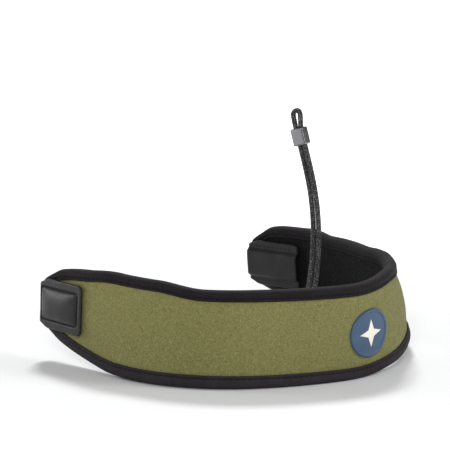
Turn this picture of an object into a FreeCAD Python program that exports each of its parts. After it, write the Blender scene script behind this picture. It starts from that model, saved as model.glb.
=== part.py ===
"""Padded neck strap for binoculars, standing on its edge in an open curl.

A contoured neoprene pad is bound along both edges with elastic tape and capped at
both ends with sewn leather tabs. A doubled braided cord leaves the left tab, runs
over the ground inside the curl and rises to the loop that hooks on the binoculars.
A slider closes that loop. A round badge sits on the middle of the pad.

Units are millimetres, +Z is up, and the origin is the middle of the strap's
footprint on the ground, without the cord and its slider.
"""
import FreeCAD, Part
import math
import os

from FreeCAD import Matrix, Placement, Vector

# Pad: plan line, as (length, radius) of tangent arcs, None for straight
PAD_START = (-84.5, -23.1)
PAD_HEADING = -47.6
PAD_ARCS = [(30, None), (45, 129), (40, 68), (42.5, 132), (41.5, 52), (45, 74), (71, 105), (30, None)]
PAD_LENGTH = sum(length for length, radius in PAD_ARCS)

# Pad: shape along its length, as (distance, value)
LOWER_EDGE_LIFT = [(0, 15.4), (14, 8.6), (36, 3.2), (54, 0.4), (72, -0.3), (165, -0.3), (195, 2.3),
                   (228, 6.4), (262, -0.3), (290, -0.3), (312, 3.6), (331, 9.5), (345, 14.5)]
INWARD_LEAN = [(0, 3), (28, 3), (60, 11), (120, 6), (170, 1), (225, 13), (270, 18), (290, 17), (317, 5),
               (345, 5)]
HALF_HEIGHT = [(0, 11.8), (4, 13.9), (12, 17.6), (30, 21.2), (50, 23.5), (70, 23.7), (95, 22.4),
               (190, 22.3), (214, 20.6), (227, 20.1), (240, 21.5), (251, 23.0), (262, 23.7), (275, 23.9),
               (295, 23.6), (315, 21.2), (333, 17.6), (341, 13.9), (345, 11.8)]

# Pad: layers
CORE_THICKNESS = 3.2
SKIN_THICKNESS = 0.7
BINDING_THICKNESS = 0.85
UPPER_BINDING_WIDTH = 5.2
LOWER_BINDING_WIDTH = 6.0
SEAM_WIDTH = 0.7
SEAM_HEIGHT = 0.2
SEAM_INSET = 1.0

# Leather end tabs
TAB_LENGTH = 30.0
TAB_OVERHANG = 2.4
TAB_HALF_HEIGHT = 12.0
TAB_END_HALF_HEIGHT = 9.4
TAB_CORNER = 2.5
LEATHER = 1.4
CROWN = 0.9
CROWN_MARGIN = 0.9
STITCH_INSET = 4.0
STITCH_FROM_FOLD = 0.0
STITCH_FROM_MOUTH = 2.6
STITCH_WIDTH = 0.6
ANCHOR_LENGTH = 25.0
ANCHOR_HALF_HEIGHT = 5.8
ANCHOR_THICKNESS = 3.4
SOCKET_DEPTH = 20.0
TAB_GAP = 0.35

# Cord: the two strands lie side by side, and the loop at the top joins them
CORD_DIAMETER = 2.8
STRAND_OFFSET = 1.5
CORD_STRAIGHT = 8.0
CORD_ROUTE = [
    ((-48.9, -52.1, 22.4), (0.5, 0.8, 1.2)),
    ((-38.4, -57.8, 12.8), (0.7, 1.2, 0.6)),
    ((-25.3, -61.4, 4.8), (0.2, 1.5, 0.2)),
    ((-11.1, -61.2, 2.0), (-0.1, 1.5, 0.0)),
    ((3.3, -56.2, 1.8), (-0.7, 1.3, 0.0)),
    ((15.9, -47.0, 1.9), (-1.0, 1.1, 0.0)),
    ((26.1, -35.0, 4.2), (-1.2, 0.9, 0.0)),
    ((33.9, -23.4, 10.8), (-1.3, 0.7, 0.1)),
    ((39.3, -12.8, 20.6), (-1.4, 0.5, 0.2)),
    ((42.5, -4.2, 32.0), (-1.4, 0.5, 0.2)),
    ((44.3, 4.8, 46.0), (-1.3, 0.7, 0.1)),
    ((44.5, 11.6, 61.5), (-1.3, 0.7, 0.0)),
    ((42.4, 16.0, 78.4), (-1.2, 0.8, -0.3)),
    ((35.8, 19.0, 104.6), (-1.1, 0.9, -0.4)),
]
# Loop over the binoculars' lug, as (sideways, up) from the route's last point, turned a little upright
CORD_LOOP = [(1.9, 3.2), (2.35, 8.9)]

# Slider, and how far it travels down the cord
SLIDER_WIDTH = 7.4
SLIDER_DEPTH = 5.6
SLIDER_HEIGHT = 8.6
SLIDER_CHAMFER = 0.8
SLIDER_BELOW_LOOP = -0.3
SLIDER_SLOT_CLEARANCE = 0.35

# Badge
BADGE_AT = 174.0
BADGE_DROP = 1.6
BADGE_RADIUS = 11.2
BADGE_GLUE = 0.06
BADGE_THICKNESS = 1.1
BADGE_RIM_WIDTH = 1.2
BADGE_RIM_HEIGHT = 0.6
EMBLEM_POINT = 6.4
EMBLEM_WAIST = 1.7
EMBLEM_HEIGHT = 0.4

PAD_HALF = CORE_THICKNESS / 2 + SKIN_THICKNESS
BOUND_HALF = PAD_HALF + BINDING_THICKNESS
SOCKET_LEVEL = PAD_HALF + ANCHOR_THICKNESS / 2
ENDS = [0, 5, 10, 15, 22, 30]
STATIONS = ENDS + list(range(45, 301, 15)) + [PAD_LENGTH - end for end in reversed(ENDS)]


def smooth_value(table, at):
    """Value of a table at a distance, by a smooth curve with no overshoot."""
    slopes = [(b[1] - a[1]) / (b[0] - a[0]) for a, b in zip(table, table[1:])]
    knots = [0.0] + [2 * a * b / (a + b) if a * b > 0 else 0.0 for a, b in zip(slopes, slopes[1:])] + [0.0]
    knots[0], knots[-1] = slopes[0], slopes[-1]
    for index, (low, high) in enumerate(zip(table, table[1:])):
        if at <= high[0] or index == len(table) - 2:
            break
    span = high[0] - low[0]
    x = min(max((at - low[0]) / span, 0.0), 1.0)
    return (low[1] * (1 + 2 * x) * (1 - x) ** 2 + high[1] * x * x * (3 - 2 * x)
            + knots[index] * span * x * (1 - x) ** 2 + knots[index + 1] * span * x * x * (x - 1))


def plan_line(at):
    """Point and heading (radians) of the pad's plan line."""
    x, y = PAD_START
    heading = math.radians(PAD_HEADING)
    for length, radius in PAD_ARCS:
        step = min(at, length)
        if radius is None:
            x, y = x + step * math.cos(heading), y + step * math.sin(heading)
        else:
            new = heading + step / radius
            x += radius * (math.sin(new) - math.sin(heading))
            y -= radius * (math.cos(new) - math.cos(heading))
            heading = new
        at -= step
        if at <= 0:
            break
    return x, y, heading


def half_height(at):
    return smooth_value(HALF_HEIGHT, at)


def pad_frame(at):
    """Middle of the pad there, its up direction and its outward direction."""
    x, y, heading = plan_line(at)
    lean = math.radians(smooth_value(INWARD_LEAN, at))
    outward = Vector(math.sin(heading), -math.cos(heading), 0)
    up = Vector(0, 0, 1) * math.cos(lean) - outward * math.sin(lean)
    out = outward * math.cos(lean) + Vector(0, 0, 1) * math.sin(lean)
    middle = (smooth_value(LOWER_EDGE_LIFT, at) + half_height(at) * math.cos(lean)
              + BOUND_HALF * math.sin(lean))
    return Vector(x, y, middle), up, out


def band(section):
    """Closed strip along the whole pad. section(half) lists its corners as (up, out)."""
    rows = []
    for at in STATIONS:
        middle, up, out = pad_frame(at)
        rows.append([middle + up * a + out * b for a, b in section(half_height(at))])
    edges = []
    for corner in zip(*rows):
        curve = Part.BSplineCurve()
        curve.interpolate(Points=list(corner), Parameters=[float(at) for at in STATIONS])
        edges.append(curve.toShape())
    faces = [Part.makeRuledSurface(a, b) for a, b in zip(edges, edges[1:] + edges[:1])]
    faces += [Part.Face(Part.makePolygon(row + row[:1])) for row in (rows[0], rows[-1])]
    shell = Part.makeCompound(faces)
    shell.sewShape(1e-4)
    return closed_solid(shell)


def closed_solid(shape):
    solid = Part.Solid(Part.Shell(shape.Faces))
    if solid.Volume < 0:
        solid.reverse()
    return solid


def layer(inner, outer):
    """Full-height layer of the pad between two offsets from its middle."""
    def section(half):
        edge = half - BINDING_THICKNESS
        return [(-edge, outer), (edge, outer), (edge, inner), (-edge, inner)]
    return band(section)


def binding(side):
    """Elastic tape folded over the upper (+1) or lower (-1) edge."""
    width = UPPER_BINDING_WIDTH if side > 0 else LOWER_BINDING_WIDTH

    def section(half):
        lip = half - width
        inside = half - BINDING_THICKNESS
        corners = [(lip, PAD_HALF), (lip, BOUND_HALF), (half, BOUND_HALF), (half, -BOUND_HALF),
                   (lip, -BOUND_HALF), (lip, -PAD_HALF), (inside, -PAD_HALF), (inside, PAD_HALF)]
        return [(side * up, out) for up, out in corners]
    return band(section)


def seam(side, face):
    """Row of stitching near the lip of a binding, on the outer (+1) or inner (-1) face."""
    width = UPPER_BINDING_WIDTH if side > 0 else LOWER_BINDING_WIDTH

    def section(half):
        low = half - width + SEAM_INSET
        high = low + SEAM_WIDTH
        top = BOUND_HALF + SEAM_HEIGHT
        corners = [(low, BOUND_HALF), (low, top), (high, top), (high, BOUND_HALF)]
        return [(side * up, face * out) for up, out in corners]
    return band(section)


def flat_foot(shape):
    """The shape, pressed flat where it stands on the ground."""
    return shape.cut(Part.makeBox(400, 400, 20, Vector(-200, -200, -20)))


def end_placement(end):
    """Frame of a tab: x from the pad's end to its middle, y inwards, z along its height."""
    origin, up, out = pad_frame(0 if end == "left" else PAD_LENGTH)
    inward = out * -1
    across = up if end == "left" else up * -1
    along = inward.cross(across)
    matrix = Matrix(along.x, inward.x, across.x, origin.x, along.y, inward.y, across.y, origin.y,
                    along.z, inward.z, across.z, origin.z, 0, 0, 0, 1)
    return Placement(matrix)


def block(x0, x1, y0, y1, half):
    return Part.makeBox(x1 - x0, y1 - y0, 2 * half, Vector(x0, y0, -half))


def tab_outline():
    """Prism of the tab's outline, narrowing to the pad's end, with rounded corners."""
    points = [Vector(-TAB_OVERHANG, -20, -TAB_END_HALF_HEIGHT), Vector(5, -20, -TAB_HALF_HEIGHT),
              Vector(TAB_LENGTH, -20, -TAB_HALF_HEIGHT), Vector(TAB_LENGTH, -20, TAB_HALF_HEIGHT),
              Vector(5, -20, TAB_HALF_HEIGHT), Vector(-TAB_OVERHANG, -20, TAB_END_HALF_HEIGHT)]
    prism = Part.Face(Part.makePolygon(points + points[:1])).extrude(Vector(0, 40, 0))
    corners = [edge for edge in prism.Edges
               if abs(edge.Vertexes[0].Y - edge.Vertexes[1].Y) > 1 and edge.Vertexes[0].X > TAB_LENGTH - 1]
    return prism.makeFillet(TAB_CORNER, corners)


def tab_leather():
    """Leather wrapped round the pad's end: a crowned outer leaf, and an inner leaf over the anchor."""
    face = BOUND_HALF + TAB_GAP
    anchor_top = PAD_HALF + ANCHOR_THICKNESS
    outer = block(-TAB_OVERHANG, TAB_LENGTH, -face - LEATHER, -face, TAB_HALF_HEIGHT)
    crown = block(STITCH_FROM_FOLD + CROWN_MARGIN, TAB_LENGTH - STITCH_FROM_MOUTH - CROWN_MARGIN,
                  -face - LEATHER - CROWN, -face - LEATHER, TAB_HALF_HEIGHT - STITCH_INSET - CROWN_MARGIN)
    top_edges = [edge for edge in crown.Edges
                 if all(abs(v.Y + face + LEATHER + CROWN) < 1e-6 for v in edge.Vertexes)]
    crown = crown.makeChamfer(CROWN * 0.8, top_edges)
    shoulder = ANCHOR_HALF_HEIGHT + LEATHER
    profile = [(-TAB_HALF_HEIGHT, face), (-ANCHOR_HALF_HEIGHT, face), (-ANCHOR_HALF_HEIGHT, anchor_top),
               (ANCHOR_HALF_HEIGHT, anchor_top), (ANCHOR_HALF_HEIGHT, face), (TAB_HALF_HEIGHT, face),
               (TAB_HALF_HEIGHT, face + LEATHER), (shoulder, face + LEATHER),
               (ANCHOR_HALF_HEIGHT, anchor_top + LEATHER), (-ANCHOR_HALF_HEIGHT, anchor_top + LEATHER),
               (-shoulder, face + LEATHER), (-TAB_HALF_HEIGHT, face + LEATHER)]
    points = [Vector(-TAB_OVERHANG, y, z) for z, y in profile]
    inner = Part.Face(Part.makePolygon(points + points[:1])).extrude(Vector(TAB_LENGTH + TAB_OVERHANG, 0, 0))
    fold = block(-TAB_OVERHANG, -TAB_GAP, -face, face, TAB_HALF_HEIGHT)
    plug = block(-TAB_OVERHANG, -TAB_GAP, face, anchor_top, ANCHOR_HALF_HEIGHT)
    shape = outer.fuse([crown, inner, fold, plug]).common(tab_outline())
    return shape.removeSplitter()


def cord_anchor():
    """Block sewn under the inner leaf, with a socket for each end of the cord."""
    body = block(0, ANCHOR_LENGTH, PAD_HALF, PAD_HALF + ANCHOR_THICKNESS, ANCHOR_HALF_HEIGHT)
    for z in (-STRAND_OFFSET, STRAND_OFFSET):
        mouth = Vector(ANCHOR_LENGTH, SOCKET_LEVEL, z)
        body = body.cut(Part.makeCylinder(CORD_DIAMETER / 2, SOCKET_DEPTH, mouth, Vector(-1, 0, 0)))
    return body


def tab_stitching():
    """Sewn rectangle round the crown of the outer leaf."""
    face = -BOUND_HALF - TAB_GAP - LEATHER
    low, high = STITCH_FROM_FOLD, TAB_LENGTH - STITCH_FROM_MOUTH
    half = TAB_HALF_HEIGHT - STITCH_INSET
    frame = block(low, high, face - SEAM_HEIGHT, face, half)
    hole = block(low + STITCH_WIDTH, high - STITCH_WIDTH, face - SEAM_HEIGHT, face, half - STITCH_WIDTH)
    return frame.cut(hole)


def cord_points():
    """Control points of the whole cord: up one strand, over the loop, and down the other."""
    tab = end_placement("left")
    roots = (ANCHOR_LENGTH - SOCKET_DEPTH, ANCHOR_LENGTH + CORD_STRAIGHT)
    up = [tab.multVec(Vector(x, SOCKET_LEVEL, -STRAND_OFFSET)) for x in roots]
    down = [tab.multVec(Vector(x, SOCKET_LEVEL, STRAND_OFFSET)) for x in roots]
    for place, offset in CORD_ROUTE:
        up.append(Vector(*place) - Vector(*offset))
        down.append(Vector(*place) + Vector(*offset))
    top, below = Vector(*CORD_ROUTE[-1][0]), Vector(*CORD_ROUTE[-2][0])
    rise = ((top - below).normalize() + Vector(0, 0, 1)).normalize()
    side = Vector(*CORD_ROUTE[-1][1]).normalize()
    loop = [top - side * a + rise * b for a, b in CORD_LOOP]
    loop += [top + side * a + rise * b for a, b in reversed(CORD_LOOP)]
    return up + loop + down[::-1]


def bent_path(points, reach=0.45):
    """Straight runs joined by tangent arcs. Returns the wire and the arcs' radii."""
    edges = []
    radii = []
    start = points[0]
    for before, corner, after in zip(points, points[1:], points[2:]):
        into = corner - before
        out = after - corner
        trim = reach * min(into.Length, out.Length)
        half = into.getAngle(out) / 2
        radii.append(trim / math.tan(half))
        first = corner - into.normalize() * trim
        last = corner + out.normalize() * trim
        to_centre = (first + last) * 0.5 - corner
        middle = corner + to_centre.normalize() * (radii[-1] / math.cos(half) - radii[-1])
        edges.append(Part.LineSegment(start, first).toShape())
        edges.append(Part.Arc(first, middle, last).toShape())
        start = last
    edges.append(Part.LineSegment(start, points[-1]).toShape())
    return Part.Wire(edges), radii


def cord_tube():
    wire, radii = bent_path(cord_points())
    start = wire.Edges[0]
    ring = Part.Wire(Part.makeCircle(CORD_DIAMETER / 2, start.valueAt(start.FirstParameter),
                                     start.tangentAt(start.FirstParameter)))
    tube = wire.makePipeShell([ring], True, True)
    print("cord points", [tuple(round(value, 1) for value in point) for point in cord_points()])
    print("cord length %.1f, volume ratio %.4f" % (
        wire.Length, tube.Volume / (wire.Length * math.pi * CORD_DIAMETER ** 2 / 4)))
    print("cord radii", [round(radius, 1) for radius in radii])
    return tube


def slider():
    """Bevelled keeper with one oval slot for the two strands."""
    top, below = Vector(*CORD_ROUTE[-1][0]), Vector(*CORD_ROUTE[-2][0])
    rise = (top - below).normalize()
    side = Vector(*CORD_ROUTE[-1][1])
    side = (side - rise * rise.dot(side)).normalize()
    front = rise.cross(side)
    origin = top - rise * (SLIDER_BELOW_LOOP + SLIDER_HEIGHT)
    print("slider axis", rise, "side", side, "base", origin)
    body = Part.makeBox(SLIDER_WIDTH, SLIDER_DEPTH, SLIDER_HEIGHT,
                        Vector(-SLIDER_WIDTH / 2, -SLIDER_DEPTH / 2, 0))
    body = body.makeChamfer(SLIDER_CHAMFER, body.Edges)
    radius = CORD_DIAMETER / 2 + SLIDER_SLOT_CLEARANCE
    slot = Part.makeBox(2 * STRAND_OFFSET, 2 * radius, SLIDER_HEIGHT, Vector(-STRAND_OFFSET, -radius, 0))
    for x in (-STRAND_OFFSET, STRAND_OFFSET):
        slot = slot.fuse(Part.makeCylinder(radius, SLIDER_HEIGHT, Vector(x, 0, 0)))
    body = body.cut(slot.removeSplitter())
    body.Placement = Placement(Matrix(side.x, front.x, rise.x, origin.x, side.y, front.y, rise.y, origin.y,
                                      side.z, front.z, rise.z, origin.z, 0, 0, 0, 1))
    return body


def badge_tools():
    """Place and outward direction of the badge, and its up direction."""
    middle, up, out = pad_frame(BADGE_AT)
    return middle - up * BADGE_DROP, up, out


def skin_block(inner, outer):
    """Layer that follows the pad, between two offsets from its middle, to cut the badge from."""
    def section(half):
        return [(-half, outer), (half, outer), (half, inner), (-half, inner)]
    return band(section)


def badge_disc():
    centre, up, out = badge_tools()
    plate = skin_block(PAD_HALF + BADGE_GLUE, PAD_HALF + BADGE_THICKNESS)
    rim = skin_block(PAD_HALF + BADGE_THICKNESS, PAD_HALF + BADGE_THICKNESS + BADGE_RIM_HEIGHT)
    drum = Part.makeCylinder(BADGE_RADIUS, 20, centre, out)
    bore = Part.makeCylinder(BADGE_RADIUS - BADGE_RIM_WIDTH, 20, centre, out)
    return plate.common(drum).fuse(rim.common(drum.cut(bore))).removeSplitter()


def badge_emblem():
    """Plain four-pointed star."""
    centre, up, out = badge_tools()
    side = up.cross(out)
    points = []
    for index in range(8):
        reach = EMBLEM_WAIST * math.sqrt(2) if index % 2 else EMBLEM_POINT
        angle = math.radians(45 * index)
        points.append(centre + side * (reach * math.cos(angle)) + up * (reach * math.sin(angle)))
    star = Part.Face(Part.makePolygon(points + points[:1])).extrude(out * 20)
    floor = PAD_HALF + BADGE_THICKNESS
    return skin_block(floor, floor + EMBLEM_HEIGHT).common(star)


def build():
    """All the strap's pieces, by name."""
    core = CORE_THICKNESS / 2
    parts = {
        "pad_core": layer(-core, core),
        "pad_facing": layer(core, PAD_HALF),
        "pad_lining": layer(-PAD_HALF, -core),
        "upper_binding": binding(1),
        "lower_binding": flat_foot(binding(-1)),
        "cord": cord_tube(),
        "slider": slider(),
        "badge_disc": badge_disc(),
        "badge_emblem": badge_emblem(),
    }
    for side, edge in ((1, "upper"), (-1, "lower")):
        for face, name in ((1, "front"), (-1, "back")):
            parts[edge + "_" + name + "_seam"] = seam(side, face)
    for end in ("left", "right"):
        placement = end_placement(end)
        pieces = {"_tab_leather": tab_leather(), "_cord_anchor": cord_anchor(),
                  "_tab_stitching": tab_stitching()}
        for name, shape in pieces.items():
            shape.Placement = placement
            parts[end + name] = shape
    return parts


def main():
    os.makedirs("parts", exist_ok=True)
    parts = build()
    box = FreeCAD.BoundBox()
    for name, shape in parts.items():
        shape.exportStep("parts/" + name + ".step")
        if name not in ("cord", "slider"):
            box.add(shape.BoundBox)
        print("%-22s %-9s valid %s solids %d volume %9.1f" % (
            name, shape.ShapeType, shape.isValid(), len(shape.Solids), shape.Volume))
    print("box without cord", box)


main()
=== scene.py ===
import math

import bmesh
import bpy
import numpy as np
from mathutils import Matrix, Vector


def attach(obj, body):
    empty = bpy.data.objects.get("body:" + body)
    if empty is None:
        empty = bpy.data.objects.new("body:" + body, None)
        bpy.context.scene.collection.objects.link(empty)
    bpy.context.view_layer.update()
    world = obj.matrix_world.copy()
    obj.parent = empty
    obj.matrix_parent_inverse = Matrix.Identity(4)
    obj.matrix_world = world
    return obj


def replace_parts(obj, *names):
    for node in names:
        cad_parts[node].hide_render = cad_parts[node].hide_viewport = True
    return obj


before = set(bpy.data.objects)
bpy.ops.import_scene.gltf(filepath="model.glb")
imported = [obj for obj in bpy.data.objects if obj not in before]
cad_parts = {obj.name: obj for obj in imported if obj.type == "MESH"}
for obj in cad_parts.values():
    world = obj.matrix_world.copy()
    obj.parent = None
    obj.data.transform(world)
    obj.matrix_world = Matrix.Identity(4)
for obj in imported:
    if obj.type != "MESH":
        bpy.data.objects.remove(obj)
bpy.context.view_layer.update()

MM = 0.001
STRAP = "strap"
SLIDER = "slider"

# The pad's shape, in millimetres: plan line as tangent arcs, and values along its length
PAD_START = (-84.5, -23.1)
PAD_HEADING = -47.6
PAD_ARCS = [(30, None), (45, 129), (40, 68), (42.5, 132), (41.5, 52), (45, 74), (71, 105), (30, None)]
PAD_LENGTH = sum(length for length, radius in PAD_ARCS)
LOWER_EDGE_LIFT = [(0, 15.4), (14, 8.6), (36, 3.2), (54, 0.4), (72, -0.3), (165, -0.3), (195, 2.3),
                   (228, 6.4), (262, -0.3), (290, -0.3), (312, 3.6), (331, 9.5), (345, 14.5)]
INWARD_LEAN = [(0, 3), (28, 3), (60, 11), (120, 6), (170, 1), (225, 13), (270, 18), (290, 17), (317, 5),
               (345, 5)]
HALF_HEIGHT = [(0, 11.8), (4, 13.9), (12, 17.6), (30, 21.2), (50, 23.5), (70, 23.7), (95, 22.4),
               (190, 22.3), (214, 20.6), (227, 20.1), (240, 21.5), (251, 23.0), (262, 23.7), (275, 23.9),
               (295, 23.6), (315, 21.2), (333, 17.6), (341, 13.9), (345, 11.8)]
PAD_HALF = 2.3
BOUND_HALF = 3.15
BINDING_THICKNESS = 0.85
BINDING_WIDTH = {1: 5.2, -1: 6.0}

# Binding's half section, in millimetres: distance in from the lip, and offset from the pad's middle
BINDING_PROFILE = [
    (-0.05, 2.10), (-0.10, 2.62), (0.08, 2.98), (0.55, 3.05), (1.00, 2.92), (1.32, 2.66), (1.66, 2.90),
    (2.30, 3.13), (3.10, 3.17), (3.95, 2.98), (4.62, 2.48), (5.12, 1.66), (5.36, 0.80), (5.40, 0.0),
]
BINDING_PROFILE_WIDTH = 5.4
BINDING_GROOVE = 1.32
BINDING_LIP_HALF = 1.9

# Stitches in the bindings' grooves, in millimetres
STITCH_PITCH = 2.6
STITCH_LEVEL = 2.74
STITCH_SIZE = (1.95, 0.42)

# Leather tabs, in the frame of their end of the pad
TAB_LENGTH = 30.0
TAB_HALF_HEIGHT = 12.0
TAB_END_HALF_HEIGHT = 9.4
TAB_CORNER = 2.5
TAB_TAPER_START = -2.4
TAB_TAPER_RUN = 8.0
TAB_FOLD_REACH = 1.75
TAB_EDGE_ROUND = 0.75
LEATHER = 1.4
CROWN = 1.9
STITCH_INSET = 4.2
STITCH_FROM_FOLD = 0.2
STITCH_FROM_MOUTH = 2.8
TAB_PITCH = 2.6
TAB_STITCH_SIZE = (1.9, 0.6)
LEAF_LEVEL = 3.5
ANCHOR_LEVEL = 5.7
ANCHOR_HALF_HEIGHT = 5.8

# Cord, in millimetres. The route gives the middle of the two
# strands and half their distance, and the loop is the part that passed over the lug.
STRAND_OFFSET = 1.5
SOCKET_LEVEL = 4.0
SOCKET_ENDS = (5.0, 33.0)
CORD_ROUTE = [
    ((-48.9, -52.1, 22.4), (0.5, 0.8, 1.2)),
    ((-38.4, -57.8, 12.8), (0.7, 1.2, 0.6)),
    ((-25.3, -61.4, 4.8), (0.2, 1.5, 0.2)),
    ((-11.1, -61.2, 2.0), (-0.1, 1.5, 0.0)),
    ((3.3, -56.2, 1.8), (-0.7, 1.3, 0.0)),
    ((15.9, -47.0, 1.9), (-1.0, 1.1, 0.0)),
    ((26.1, -35.0, 4.2), (-1.2, 0.9, 0.0)),
    ((33.9, -23.4, 10.8), (-1.3, 0.7, 0.1)),
    ((39.3, -12.8, 20.6), (-1.4, 0.5, 0.2)),
    ((42.5, -4.2, 32.0), (-1.4, 0.5, 0.2)),
    ((44.3, 4.8, 46.0), (-1.3, 0.7, 0.1)),
    ((44.5, 11.6, 61.5), (-1.3, 0.7, 0.0)),
    ((42.4, 16.0, 78.4), (-1.2, 0.8, -0.3)),
    ((35.8, 19.0, 104.6), (-1.1, 0.9, -0.4)),
]
CORD_LOOP = [(1.9, 3.2), (2.35, 8.9)]
PATH_GAP = 0.36
CORE_RADIUS = 0.98
YARNS_EACH_WAY = 6
YARN_PITCH = 7.2
YARN_CENTRE = 1.07
YARN_WEAVE = 0.15
YARN_HALF_SIZE = (0.38, 0.18)
LEATHER_MOUTH = 25.0

# Keeper on the cord, in millimetres: width, depth and height, and how round its edges and slot are
KEEPER_SIZE = (7.4, 5.6, 8.6)
KEEPER_BELOW_LOOP = -0.3
KEEPER_CORNER = 1.0
KEEPER_BEVEL = 0.7
KEEPER_SLOT = 1.75
KEEPER_SLOT_BEVEL = 0.3

# Badge, in millimetres: its place, its section from the middle to the rim, and the star on it
BADGE_AT = 174.0
BADGE_DROP = 1.6
BADGE_PROFILE = [(0.0, 1.30), (3.0, 1.27), (6.2, 1.18), (8.9, 1.05), (9.5, 1.06), (9.8, 1.34),
                 (10.15, 1.56), (10.65, 1.52), (11.05, 1.18), (11.2, 0.70), (11.2, -0.3)]
STAR_TIP = 6.4
STAR_WAIST = 1.7  # how far each inner corner lies from the middle, along and up

# Camera, in metres and degrees
CAMERA_PLACE = (-0.0003, -0.9652, 0.2405)
CAMERA_PITCH = 10.6
CAMERA_LENS = 161.4


# ---------------------------------------------------------------- shape of the pad

def smooth_value(table, at):
    """Value of a table at each distance, by a smooth curve with no overshoot."""
    x, y = np.array(table, float).T
    slope = np.diff(y) / np.diff(x)
    same = slope[:-1] * slope[1:] > 0
    total = np.where(same, slope[:-1] + slope[1:], 1.0)
    inner = np.where(same, 2 * slope[:-1] * slope[1:] / total, 0.0)
    knot = np.concatenate([slope[:1], inner, slope[-1:]])
    low = np.clip(np.searchsorted(x, at) - 1, 0, len(x) - 2)
    span = x[low + 1] - x[low]
    t = np.clip((at - x[low]) / span, 0.0, 1.0)
    return (y[low] * (1 + 2 * t) * (1 - t) ** 2 + y[low + 1] * t * t * (3 - 2 * t)
            + knot[low] * span * t * (1 - t) ** 2 + knot[low + 1] * span * t * t * (t - 1))


def plan_line(at):
    """Plan position and heading (radians) of the pad's middle at each distance."""
    x = np.full(at.shape, PAD_START[0], float)
    y = np.full(at.shape, PAD_START[1], float)
    heading = np.full(at.shape, math.radians(PAD_HEADING))
    left = at.astype(float)
    for index, (length, radius) in enumerate(PAD_ARCS):
        last = index == len(PAD_ARCS) - 1
        low = -np.inf if index == 0 else 0.0
        step = np.clip(left, low, np.inf if last else length)
        if radius is None:
            x, y = x + step * np.cos(heading), y + step * np.sin(heading)
        else:
            new = heading + step / radius
            x = x + radius * (np.sin(new) - np.sin(heading))
            y = y - radius * (np.cos(new) - np.cos(heading))
            heading = new
        left = left - step
    return x, y, heading


def half_height(at):
    return smooth_value(HALF_HEIGHT, at)


def pad_frame(at):
    """Middle, up direction and outward direction of the pad at each distance."""
    x, y, heading = plan_line(at)
    lean = np.radians(smooth_value(INWARD_LEAN, at))
    outward = np.stack([np.sin(heading), -np.cos(heading), 0 * heading], -1)
    vertical = np.array([0.0, 0.0, 1.0])
    cos, sin = np.cos(lean)[..., None], np.sin(lean)[..., None]
    middle = smooth_value(LOWER_EDGE_LIFT, at) + half_height(at) * np.cos(lean) + BOUND_HALF * np.sin(lean)
    return np.stack([x, y, middle], -1), vertical * cos - outward * sin, outward * cos + vertical * sin


def on_pad(at, up, out):
    """Points on the pad: distance along it, height from its middle, and offset outwards."""
    middle, above, outward = pad_frame(at)
    return middle + above * up[..., None] + outward * out[..., None]


def tab_frame(end):
    """Function from a tab's own millimetres (along, inwards, across) to the strap's."""
    at = np.array([0.0 if end == "left" else PAD_LENGTH])
    middle, up, out = (vector[0] for vector in pad_frame(at))
    inward = -out
    across = up if end == "left" else -up
    along = np.cross(inward, across)
    return lambda x, y, z: middle + x[..., None] * along + y[..., None] * inward + z[..., None] * across


# ---------------------------------------------------------------- meshes

def step(x):
    """Smooth step from 0 to 1."""
    x = np.clip(x, 0, 1)
    return x * x * (3 - 2 * x)


def curl_noise(x, y, seed, scale):
    """Gentle repeatable unevenness in about -1 to 1: a sum of a few slanted waves."""
    random = np.random.default_rng(seed)
    total = 0
    for _ in range(6):
        angle = random.uniform(0, math.tau)
        length = scale * random.uniform(0.6, 1.6)
        total = total + np.sin((x * math.cos(angle) + y * math.sin(angle)) * math.tau / length
                               + random.uniform(0, math.tau))
    return total / 3


def grid_faces(rows, columns, start=0, around=False):
    """Quads of a grid of vertices, row by row, closed across its columns if around."""
    across = columns if around else columns - 1
    i, j = np.meshgrid(np.arange(rows - 1), np.arange(across), indexing="ij")
    k = (j + 1) % columns
    quads = np.stack([i * columns + j, i * columns + k, (i + 1) * columns + k, (i + 1) * columns + j], -1)
    return (quads.reshape(-1, 4) + start).tolist()


def make_piece(name, points, faces, material, uv=None, body=STRAP):
    """Smooth-shaded mesh object from points in millimetres, riding on a body."""
    mesh = bpy.data.meshes.new(name)
    mesh.from_pydata((np.asarray(points, float).reshape(-1, 3) * MM).tolist(), [], faces)
    mesh.update()
    if uv is not None:
        layer = mesh.uv_layers.new(name="pad")
        index = np.zeros(len(mesh.loops), int)
        mesh.loops.foreach_get("vertex_index", index)
        layer.data.foreach_set("uv", np.asarray(uv, float).reshape(-1, 2)[index].ravel())
    mesh.polygons.foreach_set("use_smooth", [True] * len(mesh.polygons))
    piece = bpy.data.objects.new(name, mesh)
    bpy.context.scene.collection.objects.link(piece)
    mesh.materials.append(material)
    fix_normals(mesh)
    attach(piece, body)
    return piece


def fix_normals(mesh):
    """Turns a closed mesh's faces outwards."""
    work = bmesh.new()
    work.from_mesh(mesh)
    bmesh.ops.recalc_face_normals(work, faces=work.faces)
    work.to_mesh(mesh)
    work.free()


def sleeve(rings):
    """Points, faces and UVs (millimetres along and around) of a closed tube of rings with flat ends."""
    rows, columns = rings.shape[:2]
    faces = grid_faces(rows, columns, around=True)
    faces += [list(range(columns))[::-1], [(rows - 1) * columns + j for j in range(columns)]]
    along = np.concatenate([[0], np.cumsum(np.linalg.norm(np.diff(rings.mean(1), axis=0), axis=-1))])
    around = np.concatenate([[0], np.cumsum(np.linalg.norm(np.diff(rings[rows // 2], axis=0), axis=-1))])
    uv = np.stack(np.broadcast_arrays(along[:, None], around[None, :]), -1)
    return rings, faces, uv


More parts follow.
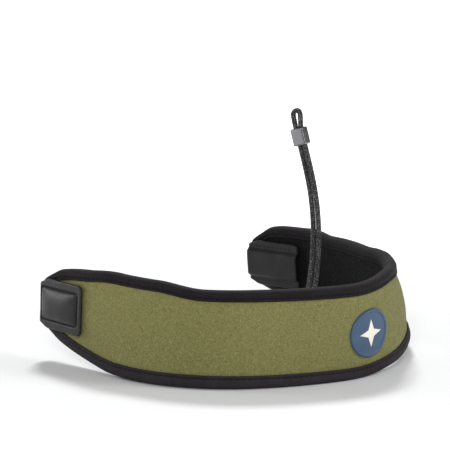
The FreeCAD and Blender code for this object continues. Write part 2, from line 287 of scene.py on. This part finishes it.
def thick_sheet(middle, above, below):
    """Closed sheet: a grid of middle points with a thickness on each side of it."""
    du = np.gradient(middle, axis=0)
    dv = np.gradient(middle, axis=1)
    normal = np.cross(du, dv)
    normal /= np.linalg.norm(normal, axis=-1, keepdims=True)
    rows, columns = middle.shape[:2]
    points = np.concatenate([(middle + normal * above[..., None]).reshape(-1, 3),
                             (middle - normal * below[..., None]).reshape(-1, 3)])
    size = rows * columns
    faces = grid_faces(rows, columns) + grid_faces(rows, columns, size)
    rim = (list(range(columns)) + [i * columns + columns - 1 for i in range(1, rows)]
           + [(rows - 1) * columns + j for j in range(columns - 2, -1, -1)]
           + [i * columns for i in range(rows - 2, 0, -1)])
    for a, b in zip(rim, rim[1:] + rim[:1]):
        faces.append([a, b, b + size, a + size])
    return points, faces


def rounded(outline, divisions):
    """Smooth line through the outline's points, by Catmull-Rom spans."""
    points = np.array(outline, float)
    padded = np.concatenate([[2 * points[0] - points[1]], points, [2 * points[-1] - points[-2]]])
    result = []
    for a, b, c, d in zip(padded, padded[1:], padded[2:], padded[3:]):
        for t in np.arange(divisions) / divisions:
            result.append(0.5 * (2 * b + (c - a) * t + (2 * a - 5 * b + 4 * c - d) * t * t
                                 + (3 * b - a - 3 * c + d) * t ** 3))
    return np.array(result + [points[-1]])


def capsules(centres, along, sideways, normal, length, width, sides=8):
    """Stitches: small arched thread lozenges. Each is placed by its centre and three directions."""
    across = np.linspace(-1, 1, 7)
    girth = np.sqrt(np.clip(1 - across ** 4, 0.02, 1)) * width / 2
    sink = -(across ** 2) * width * 0.75
    angles = np.arange(sides) * math.tau / sides
    points, faces = [], []
    for centre, a, s, n in zip(centres, along, sideways, normal):
        ring = (centre + a * (across[:, None, None] * length / 2)
                + s * (girth[:, None, None] * np.cos(angles)[None, :, None])
                + n * (girth[:, None, None] * np.sin(angles)[None, :, None] + sink[:, None, None]))
        start = len(points) * ring.shape[0] * sides
        faces += grid_faces(ring.shape[0], sides, start, around=True)
        faces.append([start + j for j in range(sides)][::-1])
        faces.append([start + (ring.shape[0] - 1) * sides + j for j in range(sides)])
        points.append(ring.reshape(-1, 3))
    return np.concatenate(points), faces


# ---------------------------------------------------------------- materials

class Nodes:
    """Short-hand for one material's node tree."""

    def __init__(self, name):
        self.material = bpy.data.materials.new(name)
        self.material.use_nodes = True
        self.tree = self.material.node_tree
        self.shader = self.tree.nodes["Principled BSDF"]
        self.place = self.tree.nodes.new("ShaderNodeTexCoord").outputs["Object"]

    def add(self, kind, inputs=(), **settings):
        node = self.tree.nodes.new("ShaderNode" + kind)
        for key, value in settings.items():
            setattr(node, key, value)
        for key, value in dict(inputs).items():
            self.feed(node.inputs[key], value)
        return node

    def feed(self, socket, value):
        """Links another node's output to a socket, or sets the socket's own value."""
        if hasattr(value, "links"):
            self.tree.links.new(value, socket)
        elif socket.type == "RGBA":
            socket.default_value = (*value, 1)
        else:
            socket.default_value = value

    def uv(self):
        return self.add("UVMap", uv_map="pad").outputs["UV"]

    def noise(self, scale, detail=3.0, rough=0.6, place=None):
        return self.add("TexNoise", {"Vector": place or self.place, "Scale": scale, "Detail": detail,
                                     "Roughness": rough}).outputs["Fac"]

    def ramp(self, value, stops):
        node = self.add("ValToRGB", {"Fac": value})
        elements = node.color_ramp.elements
        while len(elements) < len(stops):
            elements.new(0.5)
        for element, (place, colour) in zip(elements, stops):
            element.position = place
            element.color = (*colour, 1)
        return node.outputs["Color"]

    def math(self, operation, a, b=0.0):
        return self.add("Math", {0: a, 1: b}, operation=operation).outputs[0]

    def mix(self, share, a, b):
        node = self.add("Mix", data_type="RGBA")
        for socket, value in ((node.inputs[0], share), (node.inputs[6], a), (node.inputs[7], b)):
            self.feed(socket, value)
        return node.outputs[2]

    def bump(self, height, distance):
        return self.add("Bump", {"Height": height, "Distance": distance, "Strength": 1.0}).outputs["Normal"]

    def finish(self, colour, roughness, normal=None, **fixed):
        self.feed(self.shader.inputs["Base Color"], colour)
        self.feed(self.shader.inputs["Roughness"], roughness)
        if normal is not None:
            self.feed(self.shader.inputs["Normal"], normal)
        for key, value in fixed.items():
            self.shader.inputs[key.replace("_", " ")].default_value = value
        return self.material


def grey(value):
    return (value, value, value)


def knit_material(name, base, light, dark, cell, depth, sheen):
    """Knitted jersey: rows of small loops with single light and dark threads, on millimetre UVs."""
    n = Nodes(name)
    uv = n.uv()
    parts = n.add("SeparateXYZ", {0: uv}).outputs
    wobble = n.math("MULTIPLY", n.noise(900, 2.0), 0.5)
    row = n.math("ADD", n.math("MULTIPLY", parts[1], math.tau / cell), wobble)
    column = n.math("ADD", n.math("MULTIPLY", parts[0], math.tau / cell), wobble)
    loops = n.math("MULTIPLY", n.math("SINE", row), n.math("SINE", column))
    fleck = n.add("TexVoronoi", {"Vector": uv, "Scale": 1.0 / cell, "Randomness": 0.9}).outputs["Color"]
    pick = n.add("SeparateColor", {0: fleck}).outputs[0]
    patch = n.noise(900, 2.0, 0.5)
    colour = n.mix(n.ramp(pick, [(0.0, grey(0.9)), (0.3, grey(0.0))]), base, dark)
    colour = n.mix(n.ramp(pick, [(0.7, grey(0.0)), (1.0, grey(0.7))]), colour, light)
    colour = n.mix(n.ramp(patch, [(0.42, grey(0.0)), (0.68, grey(0.12))]), colour, dark)
    wear = n.noise(30, 3.0)
    colour = n.mix(n.ramp(wear, [(0.45, grey(0.0)), (0.75, grey(0.08))]), colour, light)
    height = n.math("ADD", n.math("MULTIPLY", loops, 0.5), n.math("MULTIPLY", pick, 0.6))
    normal = n.bump(height, depth)
    rough = n.ramp(pick, [(0.0, grey(0.95)), (1.0, grey(0.78))])
    return n.finish(colour, rough, normal, Sheen_Weight=sheen, Sheen_Roughness=0.5,
                    Specular_IOR_Level=0.12)


def binding_material(name, tone):
    """Smooth elastic tape with very fine ribs along it, its colour scaled by tone, which paints light and
    shade into it.
    """
    n = Nodes(name)
    parts = n.add("SeparateXYZ", {0: n.uv()}).outputs
    ribs = n.math("SINE", n.math("MULTIPLY", parts[1], math.tau / 0.42))
    weft = n.math("SINE", n.math("MULTIPLY", parts[0], math.tau / 0.5))
    fibre = n.noise(2600, 2.0)
    height = n.math("ADD", n.math("MULTIPLY", n.math("MULTIPLY", ribs, weft), 0.5), fibre)
    # tone paints light and shade: the same black tape is made darker on the upper edge and lighter on the
    # lower one.
    low = tuple(tone * part for part in (0.0115, 0.0095, 0.0112))
    high = tuple(tone * part for part in (0.0165, 0.0138, 0.016))
    colour = n.ramp(n.noise(160, 3.0), [(0.3, low), (0.7, high)])
    rough = n.ramp(fibre, [(0.3, grey(0.6)), (0.7, grey(0.78))])
    return n.finish(colour, rough, n.bump(height, 0.00006), Sheen_Weight=0.015, Sheen_Roughness=0.45,
                    Specular_IOR_Level=0.1)


def leather_material(name, tone=1.0, seam=False):
    """Smooth black leather with a fine pebble, matt in the sewn groove that its UVs measure, where painted
    shade darkens it, deeper in dashes at the stitch pitch.
    """
    n = Nodes(name)
    cells = n.add("TexVoronoi", {"Vector": n.place, "Scale": 1500.0}, feature="SMOOTH_F1").outputs["Distance"]
    folds = n.noise(420, 4.0, 0.7)
    pores = n.noise(3200, 1.0)
    grain = n.math("ADD", folds, n.math("MULTIPLY", pores, 0.4))
    height = n.math("ADD", n.math("MULTIPLY", cells, 0.8), grain)
    low, high = grey(0.006 * tone), grey(0.013 * tone)
    colour = n.ramp(n.noise(130, 4.0), [(0.3, low), (0.72, high)])
    rough = n.ramp(folds, [(0.3, grey(0.32)), (0.7, grey(0.44))])
    if seam:
        parts = n.add("SeparateXYZ", {0: n.uv()}).outputs
        # Painted shade: the colour goes near black along the sewn groove, deeper in dashes at the stitch
        # pitch.
        painted_groove_shade = n.ramp(n.math("ABSOLUTE", parts[0]), [(0.0, grey(1.0)), (0.4, grey(0.95)), (0.85, grey(0.0))])
        dash = n.math("SINE", n.math("MULTIPLY", parts[1], math.tau / TAB_PITCH))
        groove = n.math("MULTIPLY", painted_groove_shade, n.ramp(dash, [(0.0, grey(0.45)), (0.5, grey(1.0))]))
        colour = n.mix(groove, colour, grey(0.0015))
        rough = n.mix(groove, rough, grey(0.9))
    return n.finish(colour, rough, n.bump(height, 0.00005), Specular_IOR_Level=0.28)


def cord_material():
    """Charcoal yarn with paler filaments along each bundle."""
    n = Nodes("braided_yarn")
    parts = n.add("SeparateXYZ", {0: n.uv()}).outputs
    lengthways, crossways = n.math("MULTIPLY", parts[0], 0.35), n.math("MULTIPLY", parts[1], 9.0)
    filaments = n.add("CombineXYZ", {0: lengthways, 1: crossways, 2: 0.0}).outputs[0]
    streak = n.noise(1.6, 3.0, 0.6, filaments)
    speck = n.noise(1900, 2.0)
    colour = n.ramp(streak, [(0.36, grey(0.006)), (0.55, grey(0.026)), (0.7, grey(0.08))])
    fleck = n.noise(1400, 1.0)
    colour = n.mix(n.ramp(fleck, [(0.54, grey(0.0)), (0.6, grey(0.9))]), colour, grey(0.15))
    colour = n.mix(n.ramp(fleck, [(0.36, grey(0.8)), (0.46, grey(0.0))]), colour, grey(0.006))
    height = n.math("ADD", streak, n.math("MULTIPLY", speck, 0.5))
    return n.finish(colour, 0.62, n.bump(height, 0.00008), Sheen_Weight=0.05, Sheen_Roughness=0.5,
                    Specular_IOR_Level=0.3)


def plain_material(name, colour, roughness, depth=0.00003, spread=0.12, scale=700, **fixed):
    """Moulded or spun surface: a slightly uneven tone, gloss and grain."""
    n = Nodes(name)
    grain = n.noise(scale, 3.0)
    dark = tuple(c * (1 - spread) for c in colour)
    light = tuple(min(1.0, c * (1 + spread)) for c in colour)
    tone = n.ramp(n.noise(scale / 6, 3.0), [(0.3, dark), (0.7, light)])
    rough = n.ramp(grain, [(0.3, grey(roughness * 0.85)), (0.7, grey(min(1.0, roughness * 1.15)))])
    return n.finish(tone, rough, n.bump(grain, depth), **fixed)


# ---------------------------------------------------------------- the pieces

def cord_points():
    """Points that guide the whole cord: up one strand, over the loop, and down the other."""
    tab = tab_frame("left")
    roots = np.array(SOCKET_ENDS)
    strands = [tab(roots, SOCKET_LEVEL + 0 * roots, z + 0 * roots) for z in (-STRAND_OFFSET, STRAND_OFFSET)]
    middle, offset = (np.array(part) for part in zip(*CORD_ROUTE))
    rise = middle[-1] - middle[-2]
    rise = rise / np.linalg.norm(rise) + [0, 0, 1]
    rise /= np.linalg.norm(rise)
    side = offset[-1] / np.linalg.norm(offset[-1])
    loop = [middle[-1] - side * across + rise * up for across, up in CORD_LOOP]
    loop += [middle[-1] + side * across + rise * up for across, up in reversed(CORD_LOOP)]
    return np.concatenate([strands[0], middle - offset, loop, (middle + offset)[::-1], strands[1][::-1]])


def build_cord(material):
    """Braided cord that follows the route's smooth curve: twelve flat yarns over a round core."""
    curve = bpy.data.curves.new("cord_line", "CURVE")
    curve.dimensions = "3D"
    spline = curve.splines.new("NURBS")
    places = cord_points() * MM
    spline.points.add(len(places) - 1)
    for point, place in zip(spline.points, places):
        point.co = (*place, 1)
    spline.order_u = 3
    spline.use_endpoint_u = True
    curve.resolution_u = 24
    line = bpy.data.objects.new("cord_line", curve)
    traced = bpy.data.meshes.new_from_object(line)
    route = np.array([vertex.co for vertex in traced.vertices], float) / MM
    bpy.data.objects.remove(line)
    path = even_path(route, PATH_GAP)
    along, side, normal = path_frames(path)
    distance = np.arange(len(path)) * np.linalg.norm(np.diff(path, axis=0), axis=-1).mean()
    rings = [(tube_rings(path, side, normal, CORE_RADIUS, 8)[::3], 0.0)]
    for turn in (1, -1):
        for index in range(YARNS_EACH_WAY):
            angle = turn * math.tau * distance / YARN_PITCH + math.tau * index / YARNS_EACH_WAY + 0.13
            weave = turn * np.cos(math.tau * YARNS_EACH_WAY * distance / YARN_PITCH)
            radius = YARN_CENTRE + YARN_WEAVE * weave
            rings.append((yarn_rings(path, along, side, normal, angle, radius, turn), index + 7 * turn))
    points, faces, uvs = [], [], []
    for ring, shift in rings:
        start = sum(len(p) for p in points)
        flat, quads, uv = sleeve(ring)
        points.append(flat.reshape(-1, 3))
        faces += [[corner + start for corner in face] for face in quads]
        uvs.append((uv + [0.0, 3.7 * shift]).reshape(-1, 2))
    cord = make_piece("braided_cord", np.concatenate(points), faces, material, np.concatenate(uvs))
    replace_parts(cord, "cord")
    mouth = tab_frame("left")(*np.array([[LEATHER_MOUTH], [SOCKET_LEVEL], [-STRAND_OFFSET]]))[0] * MM


def even_path(route, gap):
    """The route's points again, evenly spaced."""
    run = np.concatenate([[0], np.cumsum(np.linalg.norm(np.diff(route, axis=0), axis=-1))])
    wanted = np.linspace(0, run[-1], int(run[-1] / gap) + 1)
    return np.stack([np.interp(wanted, run, route[:, axis]) for axis in range(3)], -1)


def path_frames(path):
    """Direction along a path and two directions across it that don't twist."""
    along = np.gradient(path, axis=0)
    along /= np.linalg.norm(along, axis=-1, keepdims=True)
    side = np.zeros_like(path)
    current = np.cross(along[0], [0, 0, 1.0])
    for index, direction in enumerate(along):
        current = current - direction * (current @ direction)
        current = current / np.linalg.norm(current)
        side[index] = current
    return along, side, np.cross(along, side)


def tube_rings(path, side, normal, radius, sides):
    """Circles round a path."""
    angles = np.arange(sides) * math.tau / sides
    return (path[:, None] + side[:, None] * (radius * np.cos(angles))[None, :, None]
            + normal[:, None] * (radius * np.sin(angles))[None, :, None])


def yarn_rings(path, along, side, normal, angle, radius, turn):
    """Flat oval bundle that winds round the path."""
    out = side * np.cos(angle)[:, None] + normal * np.sin(angle)[:, None]
    round_way = -side * np.sin(angle)[:, None] + normal * np.cos(angle)[:, None]
    slant = turn * math.tau * 1.1 / YARN_PITCH
    run = along + round_way * slant
    run /= np.linalg.norm(run, axis=-1, keepdims=True)
    width = np.cross(out, run)
    centre = path + out * radius[:, None]
    angles = np.arange(5) * math.tau / 5
    wide, thick = YARN_HALF_SIZE
    return (centre[:, None] + width[:, None] * (wide * np.cos(angles))[None, :, None]
            + out[:, None] * (thick * np.sin(angles))[None, :, None])


def build_face(name, side, material, seed):
    """One fabric face of the pad with half the foam behind it, slightly crowned between the bindings."""
    at = np.linspace(0, PAD_LENGTH, 301)
    share = np.sin(np.linspace(-1, 1, 57) * math.pi / 2)
    edge = half_height(at) - BINDING_THICKNESS
    up = edge[:, None] * share[None, :]
    along = np.broadcast_to(at[:, None], up.shape)
    width = np.where(up > 0, BINDING_WIDTH[1], BINDING_WIDTH[-1])
    lip = np.clip(half_height(at)[:, None] - width - np.abs(up), -3, None)
    bulge = 0.32 + 0.9 * np.exp(-((along - 225) / 30) ** 2) * (side > 0)
    crown = bulge * step(lip / 12.0) - 0.22 * np.exp(-((lip + 0.4) / 1.1) ** 2)
    uneven = 0.10 * curl_noise(along, up * 0.6, seed, 46) * step(lip / 6.0)
    height = PAD_HALF + crown + uneven
    if side < 0:
        bend = np.exp(-((along - 205) / 55) ** 2)
        height = height + 0.10 * bend * np.sin(along * math.tau / 9 + 1.3 * np.sin(up / 7)) * step(lip / 5.0)
    out = side * height
    front = on_pad(along, up, out)
    back = on_pad(along[:, ::-1], up[:, ::-1], 0 * up)[:, ::14]
    rings = np.concatenate([front, back], axis=1)
    points, faces, uv = sleeve(rings)
    uv = np.concatenate([np.stack([along, up], -1), np.stack([along, up], -1)[:, ::-14]], axis=1)
    return make_piece(name, points, faces, material, uv)


def build_binding(name, side, material):
    """Tape folded over an edge: a lip, a stitched groove and a round back."""
    width = BINDING_WIDTH[side]
    outer = rounded(BINDING_PROFILE, 3) * [width / BINDING_PROFILE_WIDTH, 1]
    profile = np.concatenate([outer, outer[-2::-1] * [1, -1]])
    at = np.linspace(0, PAD_LENGTH, 691)
    pucker = np.cos(at * math.tau / STITCH_PITCH)
    groove = np.exp(-((profile[:, 0] - BINDING_GROOVE) / 0.42) ** 2)
    swell = np.exp(-((profile[:, 0] - 2.6) / 0.9) ** 2)
    along = np.broadcast_to(at[:, None], (len(at), len(profile)))
    uneven = 0.05 * curl_noise(along, profile[None, :, 0] * 2, 5 + side, 31)
    scale = 1 + (-0.035 * groove[None, :] * (1 + pucker[:, None]) + 0.012 * swell[None, :] * -pucker[:, None])
    half = half_height(at)[:, None]
    up = side * (half - width + profile[None, :, 0] + 0.3 * uneven)
    out = profile[None, :, 1] * scale + np.sign(profile[None, :, 1]) * uneven * 0.5
    rings = on_pad(along, up, out)
    floor = np.repeat(side * (half - BINDING_THICKNESS), 2, axis=1)
    lips = np.tile([-BINDING_LIP_HALF, BINDING_LIP_HALF], (len(at), 1))
    rings = np.concatenate([rings, on_pad(along[:, :2], floor, lips)], axis=1)
    if side < 0:
        rings[..., 2] = np.maximum(rings[..., 2], 0.02)
    points, faces, uv = sleeve(rings)
    return make_piece(name, points, faces, material, uv)


def build_edge_stitches(name, side, face, material):
    """Row of stitches in a binding's groove."""
    at = np.arange(STITCH_PITCH * 6, PAD_LENGTH - STITCH_PITCH * 6, STITCH_PITCH) + STITCH_PITCH / 2
    random = np.random.default_rng(11 + 2 * side + face)
    inset = BINDING_WIDTH[side] * (1 - BINDING_GROOVE / BINDING_PROFILE_WIDTH)
    up = side * (half_height(at) - inset + random.uniform(-0.06, 0.06, len(at)))
    out = np.full(len(at), face * STITCH_LEVEL)
    centre = on_pad(at, up, out)
    ahead = on_pad(at + 0.5, side * (half_height(at + 0.5) - inset), out)
    behind = on_pad(at - 0.5, side * (half_height(at - 0.5) - inset), out)
    along = ahead - behind
    along /= np.linalg.norm(along, axis=-1, keepdims=True)
    normal = pad_frame(at)[2] * face
    sideways = np.cross(normal, along)
    points, faces = capsules(centre, along, sideways, normal, *STITCH_SIZE)
    return make_piece(name, points, faces, material)


def tab_half_height(x):
    """Half the tab's height along it, with its narrow end and its rounded corners."""
    widening = step((x - TAB_TAPER_START) / TAB_TAPER_RUN)
    taper = TAB_END_HALF_HEIGHT + (TAB_HALF_HEIGHT - TAB_END_HALF_HEIGHT) * widening
    corner = np.clip((x - (TAB_LENGTH - TAB_CORNER)) / TAB_CORNER, 0, 1)
    return taper - TAB_CORNER * (1 - np.sqrt(1 - corner ** 2))


def inside_stitching(x, z):
    """How far a point of the tab lies inside its sewn rectangle, with round corners."""
    across = TAB_HALF_HEIGHT - STITCH_INSET - np.abs(z)
    along = np.minimum(x - STITCH_FROM_FOLD, TAB_LENGTH - STITCH_FROM_MOUTH - x)
    corner = 1.6
    cut = np.hypot(np.minimum(across - corner, 0), np.minimum(along - corner, 0))
    return np.where(np.minimum(across, along) < corner, corner - cut, np.minimum(across, along))


def build_tab(end, leather, thread):
    """Leather folded round the pad's end, with a crowned and stitched outer leaf."""
    place = tab_frame(end)
    leaf = TAB_LENGTH - TAB_LENGTH * step(np.linspace(0, 1, 46)) ** 0.9
    fold = np.linspace(0, math.pi, 15)[1:-1]
    share = np.sin(np.linspace(-1, 1, 49) * math.pi / 2)
    level = LEAF_LEVEL + LEATHER / 2
    x = np.concatenate([leaf, -TAB_FOLD_REACH * np.sin(fold), leaf[::-1]])
    lower = np.concatenate([0 * leaf - level, -level * np.cos(fold), 0 * leaf + level])
    inner = np.concatenate([0 * leaf, step(fold / math.pi), 0 * leaf + 1])
    z = tab_half_height(x)[:, None] * share[None, :]
    raised = ANCHOR_LEVEL - LEAF_LEVEL
    hat = 1 - step((np.abs(z) - ANCHOR_HALF_HEIGHT + 0.2) / 2.2)
    y = lower[:, None] + raised * inner[:, None] * hat
    x = np.broadcast_to(x[:, None], y.shape)
    edge = np.minimum((tab_half_height(x) - np.abs(z)), TAB_LENGTH - x)
    rim = np.sqrt(np.clip(1 - (1 - np.clip(edge / TAB_EDGE_ROUND, 0, 1)) ** 2, 0.02, 1))
    outer_face = (1 - inner)[:, None] * (x > 0)
    stitch = inside_stitching(x, z)
    middle = (STITCH_FROM_FOLD + TAB_LENGTH - STITCH_FROM_MOUTH) / 2
    across = np.clip(np.abs(z) / (TAB_HALF_HEIGHT - STITCH_INSET), 0, 1)
    along = np.clip(np.abs(x - middle) / (middle - STITCH_FROM_FOLD), 0, 1)
    crown = CROWN * (1 - across ** 2.4) * (1 - along ** 3) * outer_face
    groove = 0.42 * np.exp(-(stitch / 0.5) ** 2)
    uneven = 0.06 * curl_noise(x, z, 21 if end == "left" else 22, 13)
    outwards = LEATHER / 2 * rim + crown - groove * outer_face + uneven * rim
    points, faces = thick_sheet(place(x, y, z), LEATHER / 2 * rim, np.maximum(outwards, 0.05))
    # The UVs carry the distance from the stitching and a run along it, which place the leather's painted
    # groove shade and its dashes.
    from_seam = np.where(outer_face > 0, stitch, 9.0)
    uv = np.stack([from_seam, x + z], -1)
    tab = make_piece(end + "_tab", points, faces, leather, np.stack([uv, uv]))
    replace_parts(tab, end + "_tab_leather")
    row = build_tab_stitches(end, place, thread)
    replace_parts(row, end + "_tab_stitching")


def build_tab_stitches(end, place, thread):
    """Sewn rectangle on the outer leaf, and two rows on the inner leaf."""
    low, high = STITCH_FROM_FOLD, TAB_LENGTH - STITCH_FROM_MOUTH
    top = TAB_HALF_HEIGHT - STITCH_INSET
    corner = 1.1
    outer = -(LEAF_LEVEL + LEATHER) + 0.2
    inner = LEAF_LEVEL + LEATHER - 0.05
    rows = []
    for x in np.arange(low + corner, high - corner + 0.1, TAB_PITCH):
        for z in (-top, top):
            rows.append(((x, outer, z), (1, 0, 0), -1))
            rows.append(((x, inner, z * 1.16), (1, 0, 0), 1))
    for z in np.arange(-top + corner, top - corner + 0.1, TAB_PITCH):
        for x in (low, high):
            rows.append(((x, outer, z), (0, 0, 1), -1))
    spots, headings, sides = (np.array(part, float) for part in zip(*rows))
    origin = place(*np.zeros((3, 1)))
    along = place(*headings.T) - origin
    normal = (place(*np.array([[0.0], [1.0], [0.0]])) - origin) * sides[:, None]
    points, faces = capsules(place(*spots.T), along, np.cross(normal, along), normal, *TAB_STITCH_SIZE)
    return make_piece(end + "_tab_stitches", points, faces, thread)


def build_badge(rubber, cream):
    """Round moulded badge that follows the pad, with a raised rim and a plain four-pointed star."""
    angle = np.linspace(0, math.tau, 145)[:-1]
    reach, height = rounded(BADGE_PROFILE, 3)[1:].T
    disc = np.broadcast_to(reach[:, None], (len(reach), len(angle)))
    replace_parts(build_badge_layer("badge", angle, disc, height, rubber), "badge_disc")
    wave = np.abs((angle / (math.pi / 2)) % 1 - 0.5) * 2
    turn = (1 - wave) * math.pi / 4
    slope = STAR_WAIST / (STAR_TIP - STAR_WAIST)
    radius = slope * STAR_TIP / (np.sin(turn) + slope * np.cos(turn))
    shares = np.array([0.12, 0.4, 0.7, 0.88, 0.96, 1.0, 1.0])
    height = np.array([1.62, 1.62, 1.60, 1.58, 1.52, 1.42, 0.9])
    star = shares[:, None] * radius[None, :]
    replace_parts(build_badge_layer("badge_star", angle, star, height, cream), "badge_emblem")


def build_badge_layer(name, angle, reach, height, material):
    """Closed layer of the badge from rings: each point's distance from the middle, and each ring's height."""
    rows, columns = reach.shape
    points = on_pad(BADGE_AT + reach * np.cos(angle), reach * np.sin(angle) - BADGE_DROP,
                    PAD_HALF + np.broadcast_to(height[:, None], reach.shape))
    faces = grid_faces(rows, columns, around=True)
    faces.append(list(range(columns)))
    faces.append([(rows - 1) * columns + j for j in range(columns)][::-1])
    return make_piece(name, points, faces, material)


def build_keeper(material):
    """Bevelled keeper with one oval slot for the two strands, round the top of the cord."""
    top, below = (np.array(place) for place, offset in reversed(CORD_ROUTE[-2:]))
    rise = (top - below) / np.linalg.norm(top - below)
    side = np.array(CORD_ROUTE[-1][1])
    side = side - rise * (side @ rise)
    side /= np.linalg.norm(side)
    front = np.cross(rise, side)
    base = top - rise * (KEEPER_SIZE[2] + KEEPER_BELOW_LOOP)
    angle = np.linspace(0, math.tau, 97)[:-1]
    cos, sin = np.cos(angle), np.sin(angle)
    round_over = np.linspace(0, math.pi / 2, 5)
    inset = np.append(KEEPER_BEVEL * (1 - np.sin(round_over)), 0.0)
    level = np.append(KEEPER_BEVEL * (1 - np.cos(round_over)), KEEPER_BEVEL * 1.1)
    heights = np.concatenate([level, (KEEPER_SIZE[2] - level)[::-1]])
    insets = np.concatenate([inset, inset[::-1]])
    wide = KEEPER_SIZE[0] / 2 - KEEPER_CORNER
    deep = KEEPER_SIZE[1] / 2 - KEEPER_CORNER
    rings = []
    for height, cut in zip(heights, insets):
        x = np.sign(cos) * wide * step(np.abs(cos) * 4) + (KEEPER_CORNER - cut) * cos
        y = np.sign(sin) * deep * step(np.abs(sin) * 4) + (KEEPER_CORNER - cut) * sin
        rings.append(base + x[:, None] * side + y[:, None] * front + height * rise)
    bevel = KEEPER_SLOT_BEVEL
    slot_rings = ((KEEPER_SIZE[2], bevel), (KEEPER_SIZE[2] - bevel, 0.0), (bevel, 0.0), (0.0, bevel))
    for height, cut in slot_rings:
        x = np.sign(cos) * STRAND_OFFSET * step(np.abs(cos) * 4) + (KEEPER_SLOT + cut) * cos
        y = (KEEPER_SLOT + cut) * sin
        rings.append(base + x[:, None] * side + y[:, None] * front + height * rise)
    faces = grid_faces(len(rings), len(angle), around=True)
    last = (len(rings) - 1) * len(angle)
    for j in range(len(angle)):
        k = (j + 1) % len(angle)
        faces.append([last + j, last + k, k, j])
    keeper = make_piece("keeper", np.array(rings), faces, material, body=SLIDER)
    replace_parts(keeper, "slider")
    return keeper


def dress_anchors(material):
    """Gives the two CAD blocks inside the tabs their leather."""
    for end in ("left", "right"):
        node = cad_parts[end + "_cord_anchor"]
        node.data.materials.clear()
        node.data.materials.append(material)


# ---------------------------------------------------------------- stage

def add_camera():
    data = bpy.data.cameras.new("camera")
    data.lens = CAMERA_LENS
    data.sensor_width = 36
    data.clip_start, data.clip_end = 0.05, 20
    camera = bpy.data.objects.new("camera", data)
    camera.location = CAMERA_PLACE
    camera.rotation_euler = (math.radians(90 - CAMERA_PITCH), 0, 0)
    bpy.context.scene.collection.objects.link(camera)
    bpy.context.scene.camera = camera


def add_light(name, place, target, size, power):
    data = bpy.data.lights.new(name, "AREA")
    data.shape = "RECTANGLE"
    data.size, data.size_y = size
    data.energy = power
    light = bpy.data.objects.new(name, data)
    light.location = place
    light.rotation_euler = (Vector(target) - Vector(place)).to_track_quat("-Z", "Y").to_euler()
    bpy.context.scene.collection.objects.link(light)


def floor_material():
    """Pale floor that glows white away from the strap, as a lit studio sweep does."""
    n = Nodes("pale_floor")
    distance = n.add("VectorMath", {0: n.place}, operation="LENGTH").outputs["Value"]
    glow = n.add("MapRange", {"Value": distance, "From Min": 0.12, "From Max": 0.45, "To Max": 0.8},
                 interpolation_type="SMOOTHSTEP").outputs["Result"]
    n.tree.links.new(glow, n.shader.inputs["Emission Strength"])
    n.shader.inputs["Emission Color"].default_value = (1, 1, 1, 1)
    tone = n.ramp(n.noise(3, 2.0), [(0.3, (0.74, 0.745, 0.75)), (0.7, (0.755, 0.76, 0.765))])
    return n.finish(tone, 0.7, Specular_IOR_Level=0.2)


def add_stage():
    mesh = bpy.data.meshes.new("floor")
    reach = 6.0
    mesh.from_pydata([(-reach, -reach, 0), (reach, -reach, 0), (reach, reach, 0), (-reach, reach, 0)], [],
                     [(0, 1, 2, 3)])
    mesh.materials.append(floor_material())
    floor = bpy.data.objects.new("floor", mesh)
    bpy.context.scene.collection.objects.link(floor)
    world = bpy.data.worlds.new("studio")
    world.use_nodes = True
    world.node_tree.nodes["Background"].inputs["Color"].default_value = (1, 1, 1, 1)
    world.node_tree.nodes["Background"].inputs["Strength"].default_value = 0.36
    bpy.context.scene.world = world
    add_light("back_softbox", (-0.03, 0.68, 1.05), (0, 0, 0), (0.26, 0.2), 11)
    add_light("front_left", (-0.1, -1.3, 0.7), (0, 0, 0.03), (0.4, 0.4), 8.5)
    add_light("left_strip", (-1.0, 0.15, 0.3), (-0.08, -0.04, 0.03), (0.3, 0.4), 3.0)
    add_light("right_strip", (1.1, -0.25, 0.6), (0.05, 0, 0.03), (0.3, 0.7), 6.5)
    bpy.context.scene.view_settings.view_transform = "Standard"


def main():
    add_camera()
    gunmetal = plain_material("gunmetal", (0.18, 0.18, 0.19), 0.26, depth=0.000001, Metallic=1.0)
    keeper = build_keeper(gunmetal)
    build_cord(cord_material())
    thread = plain_material("sewing_thread", (0.007, 0.007, 0.0075), 0.6, depth=0.00004, scale=3000,
                            Specular_IOR_Level=0.15)
    olive = knit_material("olive_jersey", (0.178, 0.172, 0.062), (0.27, 0.26, 0.098), (0.112, 0.109, 0.04),
                          cell=0.45, depth=0.00008, sheen=0.06)
    black = knit_material("black_jersey", (0.0045, 0.0045, 0.005), (0.010, 0.010, 0.011),
                          (0.002, 0.002, 0.002), cell=0.62, depth=0.0001, sheen=0.02)
    face = build_face("facing", 1, olive, 3)
    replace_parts(face, "pad_facing", "pad_core")
    lining = build_face("lining", -1, black, 4)
    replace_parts(lining, "pad_lining")
    # Painted light and shade: one black tape, darkened to 0.8 on the upper edge and brightened to 1.7 on the
    # lower one.
    for side, edge, tone in ((1, "upper", 0.8), (-1, "lower", 1.7)):
        tape = binding_material(edge + "_tape", tone)
        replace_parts(build_binding(edge + "_edge_tape", side, tape), edge + "_binding")
        for out, name in ((1, "front"), (-1, "back")):
            row = build_edge_stitches(edge + "_" + name + "_stitches", side, out, thread)
            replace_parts(row, edge + "_" + name + "_seam")
    # seam=True paints shade into the sewn groove of the tabs' leather.
    leather = leather_material("black_leather", seam=True)
    for end in ("left", "right"):
        build_tab(end, leather, thread)
    dress_anchors(leather_material("anchor_leather", 0.8))
    build_badge(plain_material("slate_rubber", (0.045, 0.085, 0.15), 0.42, Specular_IOR_Level=0.3),
                plain_material("cream_inlay", (0.78, 0.74, 0.64), 0.5, spread=0.04))
    add_stage()


main()
